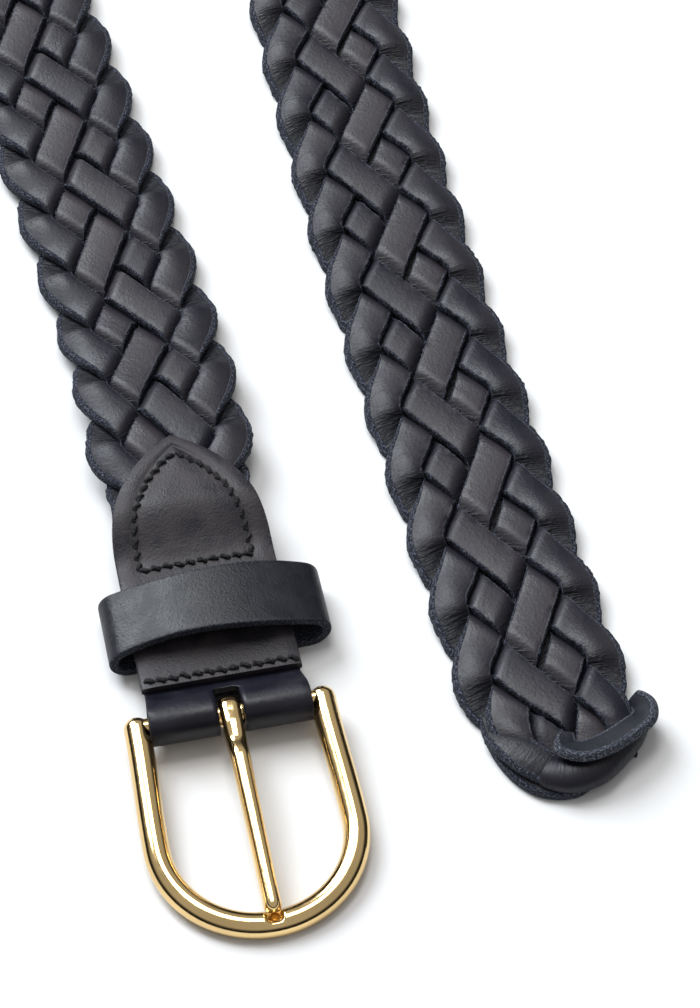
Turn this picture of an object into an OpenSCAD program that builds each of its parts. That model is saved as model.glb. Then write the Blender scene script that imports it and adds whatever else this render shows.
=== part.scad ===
// Braided leather belt, laid flat in an open keyhole with both ends at the near side.
// The front of the belt faces up. The near side is -Y, and s is the distance along the
// middle of the strap, from the buckle's bar to the tip.

/* [Lay] */
// Half the distance between the middles of the two straight runs
run_half_gap = 33; // [28:0.1:45]
// Length of the straight run behind the buckle's bar
buckle_run = 84; // [82:1:100]
// Length of the straight run before the tip
tip_run = 115; // [90:1:140]
// Length of each slowly parting run
ease_len = 150; // [100:1:200]
// Turn of each slowly parting run, in degrees
ease_turn = 4.4; // [2:0.1:8]
// Steepest slant of the strap beside the loop, in degrees
slant = 32; // [25:1:40]
// Radius of the loop, at the middle of the strap
loop_r = 84.14; // [78:0.01:100]
// How far the buckle end leans towards the tip run, in degrees
buckle_lean = 2.2; // [0:0.1:4]

/* [Braid] */
// Distance along the strap between two rows of crossings
row = 9.65; // [9:0.05:10.5]
// Farthest that a strand's middle goes from the middle of the strap
edge_reach = 14.2; // [13.5:0.1:15]
// Width of one strand
strand_w = 6.8; // [5.5:0.1:6.8]
// Thickness of one strand
strand_t = 2.2; // [1.8:0.1:2.4]
// Height between the middles of two strands where they cross
cross_h = 2.6; // [2.5:0.1:3]
// How sharply a strand turns at the strap's edge
turn_sharpness = 0.9; // [0.88:0.005:0.92]

/* [Buckle end] */
// Width of the pointed tab
tab_w = 35; // [33:0.5:37]
// Thickness of the pointed tab
tab_t = 1.7; // [1.2:0.1:2]
// Distance from the bar to the tab's square end
tab_start = 11.8; // [11:0.1:14]
// Distance from the bar to the tab's point
tab_point = 73.6; // [72:0.1:84]
// Thickness of the ply folded round the bar
ply_t = 1.5; // [1.2:0.1:1.8]
// Width of the ply folded round the bar
ply_w = 33.6; // [31:0.2:34]
// Width of the slot for the prong
slot_w = 6.6; // [6:0.1:8]

/* [Keeper] */
// Width of the keeper's band, along the strap
keeper_len = 16; // [12:0.5:16]
// Distance from the bar to the keeper's near edge
keeper_start = 18.2; // [17:0.1:20]
// Thickness of the keeper's band
keeper_t = 2.1; // [1.8:0.1:2.3]
// Outer width of the keeper across the strap
keeper_w = 49; // [48:0.5:52]
// Height of the keeper at its middle
keeper_h = 14.2; // [14:0.1:17]
// Height of the keeper's rounded ends
keeper_end_h = 9.6; // [9.4:0.1:10]

/* [Buckle] */
// Outer width of the frame
frame_w = 47; // [46:0.5:50]
// Distance from the bar to the frame's outer edge
frame_reach = 53; // [50:0.5:58]
// Width of the frame's rod
rod_w = 4.9; // [4.5:0.1:5]
// Height of the frame's rod
rod_h = 4.4; // [4:0.1:4.6]
// Diameter of the bar
bar_d = 4; // [3.6:0.1:4]
// Width of the prong
prong_w = 4.8; // [4.4:0.1:5]
// Thickness of the prong
prong_t = 3; // [2.6:0.1:3.2]
// Distance from the bar to the prong's blunt end
prong_reach = 49.5; // [49:0.1:50]

/* [Hidden] */
$fn = 48;
strands = 6;
gap = 0.3;
running_gap = 0.05;

// Fixed stations along the strap
braid_start = 56;
bend_len = 45;
buckle_bend = 170;
tip_bend_from_end = 170;
tip_fold_len = 14;

// Plan of the strap: the slowly parting run, the slanting run and the loop
ease_r = ease_len / (ease_turn * PI / 180);
flare_gain = loop_r * cos(slant) - run_half_gap - ease_r * (1 - cos(ease_turn));
flare_r = flare_gain / (cos(ease_turn) - cos(slant));
flare_turn = slant - ease_turn;
flare_len = flare_r * flare_turn * PI / 180;
loop_turn = 180 + 2 * slant;
loop_len = loop_r * loop_turn * PI / 180;
straighten_len = 40;
straighten_turn = buckle_lean + 3.1;
lean_route = [
    [buckle_run, 0],
    [straighten_len, straighten_turn],
    [ease_len - straighten_len, buckle_lean + ease_turn - straighten_turn]
];
route = [
    each lean_route,
    [flare_len, flare_turn],
    [loop_len, -loop_turn],
    [flare_len, flare_turn],
    [ease_len, ease_turn],
    [tip_run, 0]
];
strap_end = buckle_run + 2 * ease_len + 2 * flare_len + loop_len + tip_run;
tip_bend = strap_end - tip_bend_from_end;
strap_half_w = edge_reach + strand_w / 2;
lean_shift = step(step(step([0, 0, 90 - buckle_lean], lean_route[0][0], lean_route[0][1]),
    lean_route[1][0], lean_route[1][1]), lean_route[2][0], lean_route[2][1]);
bar_x = -run_half_gap - ease_r * (1 - cos(ease_turn)) - lean_shift[0];
bow_reach = (frame_reach - frame_w / 2) * cos(buckle_lean) + frame_w / 2;
loop_centre_from_bar = lean_shift[1]
    + flare_r * (sin(slant) - sin(ease_turn)) + loop_r * sin(slant);
total_len = bow_reach + loop_centre_from_bar + loop_r + strap_half_w;
bar_y = bow_reach - total_len / 2;
start_pose = [bar_x, bar_y, 90 - buckle_lean];

// Heights
half_t = (cross_h + strand_t) / 2;
back_z = keeper_t + gap;
bar_r = bar_d / 2;
bar_z = back_z + ply_t + gap + bar_r;
fold_in_r = bar_r + gap;
fold_out_r = fold_in_r + ply_t;
low_z = back_z + ply_t;
high_z = low_z + 2 * half_t;
buckle_mid_z = low_z + half_t;
settle_start = 84;
ramp_start = 42;
ramp_end = braid_start;
fold_down = 10;

// The braid: a strand's rings sit on both sides of every crossing and at each edge
ring_side = 0.38;
fan_u = 1 - ring_side;
skew = 59;
skew_from_square = 27;
side_per_row = [0, -1, 1, 0, -1, 1];
rings_per_pass = 11;
ring_count = 230;

// Tab outline: straight sides, then two arcs that meet in a point
arch_start = 45;
arch_rise = tab_point - arch_start;
arch_r = (pow(arch_rise, 2) + pow(tab_w / 2, 2)) / tab_w;
arch_x = arch_r - tab_w / 2;
stitch_inset = 5;
stitch_len = 2.7;
stitch_gap = 0.7;
stitch_w = 1;
stitch_h = 0.6;
stitch_sink = 0.1;
arch_row_s = 40.6;
fold_row_s = tab_start + 1.8;

slot_past_bar = 5.5;

// Ends of the strands at the tip
tuck_w = 8.8;
tuck_pitch = 9.4;
tuck_step = 2.4;
tuck_slit = 0.4;
tail_len = 17;
tail_w = 6;
tail_t = 1.9;
tail_back = 7;
tail_slant = 14;

// Keeper outline: two round ends under one shallow arch
keeper_end_r = keeper_end_h / 2;
keeper_end_x = keeper_w / 2 - keeper_end_r;
keeper_arch_r = (pow(keeper_end_x, 2) + pow(keeper_h - keeper_end_r, 2) - pow(keeper_end_r, 2))
    / (2 * (keeper_h - 2 * keeper_end_r));

// Buckle frame: it slopes from the bar to the table
frame_tilt = asin((bar_z - rod_h / 2) / (frame_reach - rod_w / 2));
bow_r = (frame_w - rod_w) / 2;
side_len = frame_reach - frame_w / 2;
ear_r = 3.7;
ear_w = rod_w;
notch_w = prong_w + 1;
prong_knee = 9;
prong_rest_z = rod_h / 2 - 0.7;

// ---- Where the strap runs ----

// Moves a pose [x, y, heading] along an arc of a given length and turn
function step(p, l, turn) =
    let (
        half = turn / 2,
        chord = abs(turn) < 0.001 ? l : l * sin(half) / (half * PI / 180),
        h = p[2] + half
    )
    [p[0] + chord * cos(h), p[1] + chord * sin(h), p[2] + turn];

// The strap's pose at the distance s from the bar
function pose_at(s, i = 0, p = start_pose) =
    (s <= route[i][0] || i == len(route) - 1)
        ? step(p, s, route[i][1] * s / route[i][0])
        : pose_at(s - route[i][0], i + 1, step(p, route[i][0], route[i][1]));

function smooth(x) = let (c = min(1, max(0, x))) c * c * (3 - 2 * c);

// Height of the strap's middle at s: high in the buckle end, then down on the table
function mid_z(s) =
    let (flat_s = buckle_bend - bend_len)
    buckle_mid_z + (half_t - buckle_mid_z) * smooth((s - settle_start) / (flat_s - settle_start));

// A point of the strap: s along it, t to the left of travel, z above its middle
function on_strap(s, t, z) =
    let (p = pose_at(s))
    [p[0] - t * sin(p[2]), p[1] + t * cos(p[2]), mid_z(s) + z];

// ---- How a strand runs ----

// A strand crosses the strap in 6 rows and comes back in 6 more. u counts its rows from the
// right edge of travel.
function strand_t_at(u) =
    -edge_reach * asin(turn_sharpness * cos(30 * u)) / asin(turn_sharpness);

// Rows at which the rings sit: one at each edge and two at each of the 5 crossings
function ring_u(i) =
    let (pass = floor(i / rings_per_pass), k = i - pass * rings_per_pass, c = ceil(k / 2))
    6 * pass + (k == 0 ? 0 : c + (k % 2 == 1 ? -ring_side : ring_side));

// Over (1), under (-1), or on edge (0): every second strand passes over two in the middle
function ring_side_of(n, i) =
    let (pass = floor(i / rings_per_pass), k = i - pass * rings_per_pass, c = ceil(k / 2))
    k == 0 ? 0 : c == 3 ? (n % 2 == 0 ? 1 : -1) : side_per_row[c];

function ring_s(n, i) = braid_start + row * (ring_u(i) + 2 * n - 12);

// Each ring lies along the strand that it crosses, and fans round at the strap's edge
function ring_corners(n, i) =
    let (
        u = ring_u(i),
        s = ring_s(n, i),
        t = strand_t_at(u),
        edge = round(u / 6),
        side = edge % 2 == 0 ? -1 : 1,
        fan = skew * max(-1, min(1, (u - 6 * edge) / fan_u)),
        reach = strand_w / 2 / cos(fan * skew_from_square / skew),
        ds = side * reach * sin(fan),
        dt = reach * cos(fan),
        z = ring_side_of(n, i) * cross_h / 2,
        up = strand_t / 2
    )
    [
        on_strap(s + ds, t + dt, z + up),
        on_strap(s - ds, t - dt, z + up),
        on_strap(s - ds, t - dt, z - up),
        on_strap(s + ds, t + dt, z - up)
    ];

// The first ring of strand n that is at or past s
function first_ring(n, s) = min([for (i = [0:ring_count]) if (ring_s(n, i) >= s) i]);

// One strand between two stations of the strap
module strand(n, from_s, to_s) {
    rings = [for (i = [first_ring(n, from_s):first_ring(n, to_s)]) ring_corners(n, i)];
    last = len(rings) - 1;
    sides = [
        for (k = [0:last - 1], c = [0:3])
            let (d = (c + 1) % 4)
            each [
                [4 * k + c, 4 * k + 4 + c, 4 * k + 4 + d],
                [4 * k + c, 4 * k + 4 + d, 4 * k + d]
            ]
    ];
    near_cap = [[0, 1, 2], [0, 2, 3]];
    far_cap = [for (f = [[0, 2, 1], [0, 3, 2]]) [for (c = f) 4 * last + c]];
    polyhedron(
        points = [for (r = rings) each r],
        faces = concat(sides, near_cap, far_cap),
        convexity = 10
    );
}

module strand_loop(n) {
    color("#23252e") strand(n, buckle_bend, tip_bend);
}

module strand_buckle_bend(n) {
    color("#2a2c36") strand(n, buckle_bend - bend_len, buckle_bend);
}

module strand_buckle_run(n) {
    color("#31333e") strand(n, braid_start, buckle_bend - bend_len);
}

module strand_tip_bend(n) {
    color("#2a2c36") strand(n, tip_bend, tip_bend + bend_len);
}

module strand_tip_run(n) {
    tip = pose_at(strap_end);
    color("#31333e")
        difference() {
            strand(n, tip_bend + bend_len, strap_end - tip_fold_len / 2);
            translate([tip[0] - strap_half_w, tip[1] - tip_fold_len, 0])
                cube([2 * strap_half_w, 2 * tip_fold_len, 2 * half_t]);
        }
}

// ---- The tip ----

// Three strand ends turned back under the braid, side by side; the middle one goes farthest
module tucked_ends() {
    tip = pose_at(strap_end);
    fold_r = half_t;
    color("#2a2c36")
        for (k = [-1:1]) {
            short = abs(k) * tuck_step;
            translate([tip[0] + k * tuck_pitch - tuck_w / 2, tip[1] + short, half_t])
                rotate([90, 0, 90])
                    linear_extrude(tuck_w)
                        difference() {
                            union() {
                                translate([fold_r, 0]) circle(fold_r);
                                translate([fold_r, -fold_r])
                                    square([tip_fold_len - short - fold_r, 2 * fold_r]);
                            }
                            translate([fold_r, -tuck_slit / 2]) square([tip_fold_len, tuck_slit]);
                        }
        }
}

// The last strand's cut end, lying across the folds
module rolled_end() {
    tip = pose_at(strap_end);
    color("#383b48")
        translate([tip[0], tip[1] + tail_back, 2 * half_t])
            rotate([0, 0, -tail_slant])
                linear_extrude(tail_t)
                    translate([-tail_len / 2, -tail_w / 2])
                        union() {
                            square([tail_len, tail_w]);
                            translate([tail_len, tail_w / 2]) circle(d = tail_w);
                            translate([0, tail_w / 2]) circle(d = tail_w);
                        }
}

// ---- The buckle end: drawn along y with the bar at the origin, then put at the bar with its lean ----

module at_bar() {
    translate([bar_x, bar_y, 0]) rotate([0, 0, -buckle_lean]) children();
}

// Turns a side outline (s across, z up) into a solid of the width w across the strap
module across(w) {
    translate([-w / 2, 0, 0]) rotate([90, 0, 90]) linear_extrude(w) children();
}

// The tab's outline in plan, made smaller by inset
module arch_outline(start, inset) {
    half_w = tab_w / 2 - inset;
    translate([-half_w, start]) square([2 * half_w, arch_start - start]);
    intersection() {
        translate([arch_x, arch_start]) circle(arch_r - inset, $fn = 96);
        translate([-arch_x, arch_start]) circle(arch_r - inset, $fn = 96);
        translate([-half_w, arch_start]) square([2 * half_w, arch_rise]);
    }
}

// Height of the underside of the front plies, above the ones below them
function front_z(s) =
    low_z + (high_z - low_z) * min(1, max(0, (s - ramp_start) / (ramp_end - ramp_start)));

// One ply that lies on the braid's end at the back and comes down at the front
module front_ply_side(from_s, to_s, lift, t) {
    polygon(concat(
        [for (s = [from_s, ramp_start, ramp_end, to_s]) [s, front_z(s) + lift]],
        [for (s = [to_s, ramp_end, ramp_start, from_s]) [s, front_z(s) + lift + t]]
    ));
}

// The side view of the ply folded round the bar
module folded_ply_side() {
    translate([0, bar_z])
        difference() {
            circle(fold_out_r);
            circle(fold_in_r);
            translate([0, -fold_out_r]) square([fold_out_r, 2 * fold_out_r]);
        }
    translate([0, back_z]) square([tab_point, ply_t]);
    polygon([
        [0, bar_z + fold_in_r], [0, bar_z + fold_out_r],
        [fold_down, low_z + ply_t], [fold_down, low_z]
    ]);
    front_ply_side(fold_down, tab_point, 0, ply_t);
}

module folded_ply() {
    inset = (tab_w - ply_w) / 2;
    color("#1b1d2b")
        at_bar()
            difference() {
                intersection() {
                    across(ply_w) folded_ply_side();
                    linear_extrude(high_z + tab_t + ply_t)
                        arch_outline(-fold_out_r - gap, inset);
                }
                translate([-slot_w / 2, -fold_out_r - gap, 0])
                    cube([slot_w, fold_out_r + gap + slot_past_bar, 2 * high_z]);
            }
}

module pointed_tab() {
    color("#33343e")
        at_bar()
            intersection() {
                across(tab_w) front_ply_side(tab_start, tab_point, ply_t, tab_t);
                linear_extrude(high_z + 2 * tab_t + ply_t) arch_outline(tab_start, 0);
            }
}

// One stitch from point a to point b, its flat side sunk a little into the leather
module stitch(a, b) {
    d = b - a;
    flat_len = norm([d[0], d[1]]);
    len = norm(d) - stitch_gap;
    translate((a + b) / 2)
        rotate([0, 0, atan2(d[1], d[0])])
            rotate([0, -atan2(d[2], flat_len), 0])
                translate([-len / 2, 0, -stitch_sink])
                    rotate([90, 0, 90])
                        linear_extrude(len)
                            intersection() {
                                scale([stitch_w / 2, stitch_h]) circle(1, $fn = 16);
                                translate([-stitch_w, 0]) square(2 * stitch_w);
                            }
}

function tab_top_z(s) = front_z(s) + ply_t + tab_t;

// A point of the arched row: side is -1 or 1, k counts from the foot of the arch
function arch_angle(k) = k * (stitch_len + stitch_gap) / (arch_r - stitch_inset) * 180 / PI;
arch_stitches = floor(acos(arch_x / (arch_r - stitch_inset)) / arch_angle(1));
function arch_stitch_point(side, k) =
    let (
        a = arch_angle(k),
        s = arch_start + (arch_r - stitch_inset) * sin(a)
    )
    [side * ((arch_r - stitch_inset) * cos(a) - arch_x), s];

function on_tab(p) = [p[0], p[1], tab_top_z(p[1])];
function on_back(p) = [p[0], p[1], back_z];

// A row of stitches through a list of plan points, on the tab and on the back
module stitch_row(points) {
    for (k = [0:len(points) - 2]) {
        stitch(on_tab(points[k]), on_tab(points[k + 1]));
        mirrored_stitch(on_back(points[k]), on_back(points[k + 1]));
    }
}

module mirrored_stitch(a, b) {
    translate([0, 0, 2 * back_z]) mirror([0, 0, 1]) stitch(a, b);
}

module arch_stitching() {
    foot_x = tab_w / 2 - stitch_inset;
    across_count = 8;
    bottom = [for (k = [0:across_count]) [foot_x * (2 * k / across_count - 1), arch_row_s]];
    color("#0c0d12")
        at_bar() {
            stitch_row(bottom);
            for (side = [-1, 1])
                stitch_row(concat(
                    [[side * foot_x, arch_row_s + stitch_gap]],
                    [for (k = [0:arch_stitches]) arch_stitch_point(side, k)]
                ));
        }
}

module fold_stitching() {
    half_row = tab_w / 2 - 1.5;
    count = 10;
    color("#0c0d12")
        at_bar()
            stitch_row([for (k = [0:count]) [half_row * (2 * k / count - 1), fold_row_s]]);
}

// ---- The keeper ----

// Points on an arc about the point c, from one angle to another
function arc_points(c, r, from_a, to_a, count) = [
    for (k = [0:count])
        let (a = from_a + (to_a - from_a) * k / count)
        [c[0] + r * cos(a), c[1] + r * sin(a)]
];

module keeper_outline(inset) {
    touch = asin(keeper_end_x / (keeper_arch_r - keeper_end_r));
    end_r = keeper_end_r - inset;
    polygon(concat(
        arc_points([keeper_end_x, keeper_end_r], end_r, -90, 90 - touch, 10),
        arc_points([0, keeper_h - keeper_arch_r], keeper_arch_r - inset, 90 - touch, 90 + touch, 20),
        arc_points([-keeper_end_x, keeper_end_r], end_r, 90 + touch, 270, 10)
    ));
}

module keeper() {
    color("#191d27")
        at_bar()
            translate([0, keeper_start + keeper_len, 0])
                rotate([90, 0, 0])
                    linear_extrude(keeper_len)
                        difference() {
                            keeper_outline(0);
                            keeper_outline(keeper_t);
                        }
}

// ---- The buckle ----

// The rod's section: domed on top and flat below, its middle at the origin
module rod_section() {
    intersection() {
        scale([rod_w / 2, rod_h * 0.62]) translate([0, -0.19]) circle(1);
        translate([-rod_w, -rod_h / 2]) square([2 * rod_w, rod_h]);
    }
}

// The frame in its own plane: the bar runs along x, and the bow lies at -y
module frame_flat() {
    difference() {
        union() {
            translate([0, -side_len, 0])
                rotate([0, 0, 180])
                    rotate_extrude(angle = 180, $fn = 96) translate([bow_r, 0]) rod_section();
            for (side = [-1, 1]) {
                translate([side * bow_r, 0, 0])
                    rotate([90, 0, 0]) linear_extrude(side_len) rod_section();
                translate([side * bow_r - ear_w / 2, 0, 0])
                    rotate([0, 90, 0]) cylinder(r = ear_r, h = ear_w);
            }
        }
        translate([-frame_w, 0, 0]) rotate([0, 90, 0]) cylinder(r = bar_r, h = 2 * frame_w);
        translate([-notch_w / 2, -frame_reach + rod_w / 2, prong_rest_z])
            cube([notch_w, rod_w, rod_h]);
    }
}

module at_bar_axis() {
    at_bar() translate([0, 0, bar_z]) children();
}

module buckle_frame() {
    color("#d9b25c") at_bar_axis() rotate([frame_tilt, 0, 0]) frame_flat();
}

module buckle_bar() {
    color("#c9a04c")
        at_bar_axis()
            translate([-frame_w / 2, 0, 0]) rotate([0, 90, 0]) cylinder(r = bar_r, h = frame_w);
}

// The prong's side view in the frame's plane: an eye round the bar and a shank to the bow
module prong_side() {
    eye_r = fold_out_r;
    rest_z = prong_rest_z + running_gap;
    difference() {
        union() {
            circle(eye_r);
            polygon([
                [0, eye_r], [-prong_knee, rest_z + prong_t],
                [-prong_reach, rest_z + prong_t], [-prong_reach, rest_z],
                [-prong_knee, rest_z], [0, -bar_r - running_gap]
            ]);
        }
        circle(bar_r + running_gap);
    }
}

module prong() {
    color("#e0bb66")
        at_bar_axis()
            rotate([frame_tilt, 0, 0])
                translate([-prong_w / 2, 0, 0])
                    rotate([90, 0, 90]) linear_extrude(prong_w) prong_side();
}

for (n = [1:strands]) {
    strand_loop(n);
    strand_buckle_bend(n);
    strand_buckle_run(n);
    strand_tip_bend(n);
    strand_tip_run(n);
}
tucked_ends();
rolled_end();
folded_ply();
pointed_tab();
arch_stitching();
fold_stitching();
keeper();
buckle_frame();
buckle_bar();
prong();
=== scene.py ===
# %% [markdown]
# # A braided leather belt
# The belt lies flat with its front up: a brass buckle on a stitched leather end, six plaited strands
# in one long open loop, and a tip whose strand ends are tucked away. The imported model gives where
# everything is; each cell below makes one piece or one finish.

# %% Frame and units
import math

import bmesh
import bpy
import numpy as np
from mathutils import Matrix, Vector


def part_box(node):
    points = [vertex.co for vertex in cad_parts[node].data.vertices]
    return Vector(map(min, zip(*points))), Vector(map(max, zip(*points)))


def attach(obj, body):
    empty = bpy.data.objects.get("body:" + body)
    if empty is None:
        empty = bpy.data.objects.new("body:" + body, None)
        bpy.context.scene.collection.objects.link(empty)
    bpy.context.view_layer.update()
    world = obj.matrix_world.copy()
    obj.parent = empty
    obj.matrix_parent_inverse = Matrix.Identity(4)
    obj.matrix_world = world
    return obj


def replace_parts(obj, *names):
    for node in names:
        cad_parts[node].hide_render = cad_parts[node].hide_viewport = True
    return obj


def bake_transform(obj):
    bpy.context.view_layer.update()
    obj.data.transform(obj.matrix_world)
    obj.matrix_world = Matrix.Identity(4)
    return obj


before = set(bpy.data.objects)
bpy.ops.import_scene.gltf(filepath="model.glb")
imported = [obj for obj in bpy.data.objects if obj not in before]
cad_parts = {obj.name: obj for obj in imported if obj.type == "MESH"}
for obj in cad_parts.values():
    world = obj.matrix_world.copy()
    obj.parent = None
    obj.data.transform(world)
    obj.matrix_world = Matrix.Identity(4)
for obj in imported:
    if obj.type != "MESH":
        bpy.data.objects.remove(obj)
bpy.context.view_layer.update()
mm = 0.001
rng = np.random.default_rng(7)
scene = bpy.context.scene

bar_low, bar_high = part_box("buckle_bar")
bar = (bar_low + bar_high) / 2

# %% [markdown]
# ## The camera and the studio
# A long lens looks down on the two ends at about 52 degrees, so the runs hardly narrow as they go
# away. A wide cool sun behind the belt on its left gives the leather its soft shine and its shadow, and
# a soft box above fills it. Polished brass shows what is round it, so the sky is white overhead and
# goes dark toward the horizon, which is where the brass turns brown.

# %% Camera
film_width, lens_length = 36, 117.857
cam_data = bpy.data.cameras.new("camera")
cam_data.sensor_width = film_width
cam_data.lens = lens_length
camera = bpy.data.objects.new("camera", cam_data)
scene.collection.objects.link(camera)
scene.camera = camera
cam_azimuth, cam_elevation = math.radians(-14), math.radians(51.98)
cam_from_bar = Vector((-71.4, -391.9, 587.0)) * mm
camera.location = Vector((bar.x, bar.y, 0)) + cam_from_bar
look = Vector((
    -math.sin(cam_azimuth) * math.cos(cam_elevation),
    math.cos(cam_azimuth) * math.cos(cam_elevation),
    -math.sin(cam_elevation),
))
camera.rotation_mode = "QUATERNION"
camera.rotation_quaternion = look.to_track_quat("-Z", "Y")
cam_data.clip_start, cam_data.clip_end = 0.01, 20
print("lens", round(cam_data.lens, 1), "mm")

# %% Lights, sky and floor
scene.view_settings.view_transform = "Standard"
world = bpy.data.worlds.new("studio")
scene.world = world
world.use_nodes = True
sky = world.node_tree
direction = sky.nodes.new("ShaderNodeTexCoord").outputs["Generated"]
height = sky.nodes.new("ShaderNodeSeparateXYZ")
sky.links.new(direction, height.inputs[0])
dome = sky.nodes.new("ShaderNodeValToRGB")
dome.color_ramp.interpolation = "EASE"
dome.color_ramp.elements[0].position = 0.30
dome.color_ramp.elements[0].color = (0.05, 0.05, 0.055, 1)
dome.color_ramp.elements[1].position = 0.62
dome.color_ramp.elements[1].color = (1, 1, 1, 1)
sky.links.new(height.outputs[2], dome.inputs[0])
sky.links.new(dome.outputs[0], sky.nodes["Background"].inputs["Color"])
sky.nodes["Background"].inputs["Strength"].default_value = 0.45


def aimed(name, kind, place, aim):
    """A lamp at place, in metres, that shines at aim."""
    data = bpy.data.lights.new(name, kind)
    made = bpy.data.objects.new(name, data)
    scene.collection.objects.link(made)
    made.location = place
    made.rotation_mode = "QUATERNION"
    made.rotation_quaternion = (Vector(aim) - Vector(place)).to_track_quat("-Z", "Y")
    return data


lit_place = (0, -0.15, 0)
sun = aimed("soft_sun", "SUN", (-0.5, 0.8, 0.95), lit_place)
sun.energy, sun.angle, sun.color = 3.4, math.radians(34), (0.90, 0.95, 1.0)
box = aimed("top_box", "AREA", (0.0, 0.15, 1.1), lit_place)
box.shape, box.size, box.energy = "SQUARE", 0.45, 5

floor_half_w = 6
bm = bmesh.new()
bmesh.ops.create_grid(bm, x_segments=1, y_segments=1, size=floor_half_w)
floor_mesh = bpy.data.meshes.new("floor")
bm.to_mesh(floor_mesh)
bm.free()
floor = bpy.data.objects.new("floor", floor_mesh)
scene.collection.objects.link(floor)
floor_paint = bpy.data.materials.new("floor_paint")
floor_paint.use_nodes = True
floor_shader = floor_paint.node_tree.nodes["Principled BSDF"]
floor_shader.inputs["Base Color"].default_value = (0.80, 0.80, 0.80, 1)
floor_shader.inputs["Roughness"].default_value = 0.9
floor_mesh.materials.append(floor_paint)
print("studio ready")

# %% [markdown]
# ## Where the strap runs
# The strap's middle line is a few arcs, end to end, from the buckle's bar to the tip. `lay` turns
# a place on the strap (s along it, t to the left of travel, z above the table) into a point.
# Everything braided is made straight in s and t and then laid on this line.

# %% Route of the strap
run_half_gap = 33 * mm
buckle_run, tip_run = 84 * mm, 115 * mm
lean = math.radians(2.2)
straighten_len, straighten_turn = 40 * mm, lean + math.radians(3.1)
ease_len, ease_turn = 150 * mm, math.radians(4.4)
loop_r, slant = 84.14 * mm, math.radians(32)
ease_r = ease_len / ease_turn
flare_gain = loop_r * math.cos(slant) - run_half_gap - ease_r * (1 - math.cos(ease_turn))
flare_r = flare_gain / (math.cos(ease_turn) - math.cos(slant))
flare_len = flare_r * (slant - ease_turn)
loop_turn = math.pi + 2 * slant
route = [
    (buckle_run, 0.0),
    (straighten_len, straighten_turn),
    (ease_len - straighten_len, lean + ease_turn - straighten_turn),
    (flare_len, slant - ease_turn),
    (loop_r * loop_turn, -loop_turn),
    (flare_len, slant - ease_turn),
    (ease_len, ease_turn),
    (tip_run, 0.0),
]
strap_end = sum(length for length, turn in route)


def along_arc(x, y, heading, length, turn):
    """Where an arc of this length and turn ends; length and turn may be arrays."""
    half = turn / 2
    chord = length * np.sinc(half / np.pi)
    return x + chord * np.cos(heading + half), y + chord * np.sin(heading + half), heading + turn


stations, poses = [0.0], [(bar.x, bar.y, math.pi / 2 - lean)]
for length, turn in route:
    stations.append(stations[-1] + length)
    poses.append(tuple(float(v) for v in along_arc(*poses[-1], length, turn)))


def pose_at(s):
    """Arrays of x, y and heading for an array of places along the strap."""
    s = np.asarray(s, float)
    i = np.clip(np.searchsorted(stations, s, side="right") - 1, 0, len(route) - 1)
    at = np.array(poses)[i]
    length, turn = np.array(route)[i].T
    part = s - np.array(stations)[i]
    return along_arc(at[:, 0], at[:, 1], at[:, 2], part, turn * part / length)


def lay(s, t, z):
    """Points of the strap, as rows of x, y and z."""
    x, y, heading = pose_at(s)
    return np.column_stack([x - t * np.sin(heading), y + t * np.cos(heading), z])


def smooth(x):
    """Goes from 0 to 1 as x does, and is level at both ends."""
    c = np.clip(x, 0, 1)
    return c * c * (3 - 2 * c)


print("strap", round(strap_end / mm), "mm from bar to tip")

# %% [markdown]
# ## One helper for every strap-like piece
# Strands, plies, keeper and rods are all a closed section carried along a path. A grid from
# `create_grid` is bent round by numpy, its seam is merged, and its two open ends are filled. The
# section keeps its own measure: across the top it runs from -1 to 1, and past that it is the cut
# edge, so a finish can tell skin from raw edge by the UV map alone.

# %% Skin over a carried section
def section(half_w, half_h, corner, across=5, around=3):
    """A flat strap's section, as v, z and measure, from the middle of the underside round."""
    flat_w, flat_h = half_w - corner, half_h - corner
    v, z = [], []
    for k, (sv, sz) in enumerate([(1, -1), (1, 1), (-1, 1), (-1, -1)]):
        start = -math.pi / 2 + k * math.pi / 2
        for a in np.linspace(0, math.pi / 2, around + 1):
            v.append(sv * flat_w + corner * math.cos(start + a))
            z.append(sz * flat_h + corner * math.sin(start + a))
        if k == 1:
            inner = np.linspace(flat_w, -flat_w, across + 2)[1:-1]
            v.extend(inner)
            z.extend([half_h] * across)
    v, z = np.array([0] + v + [0]), np.array([-half_h] + z + [-half_h])
    walked = np.concatenate([[0], np.cumsum(np.hypot(np.diff(v), np.diff(z)))])
    return v, z, (walked - walked[-1] / 2) / -flat_w


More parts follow.
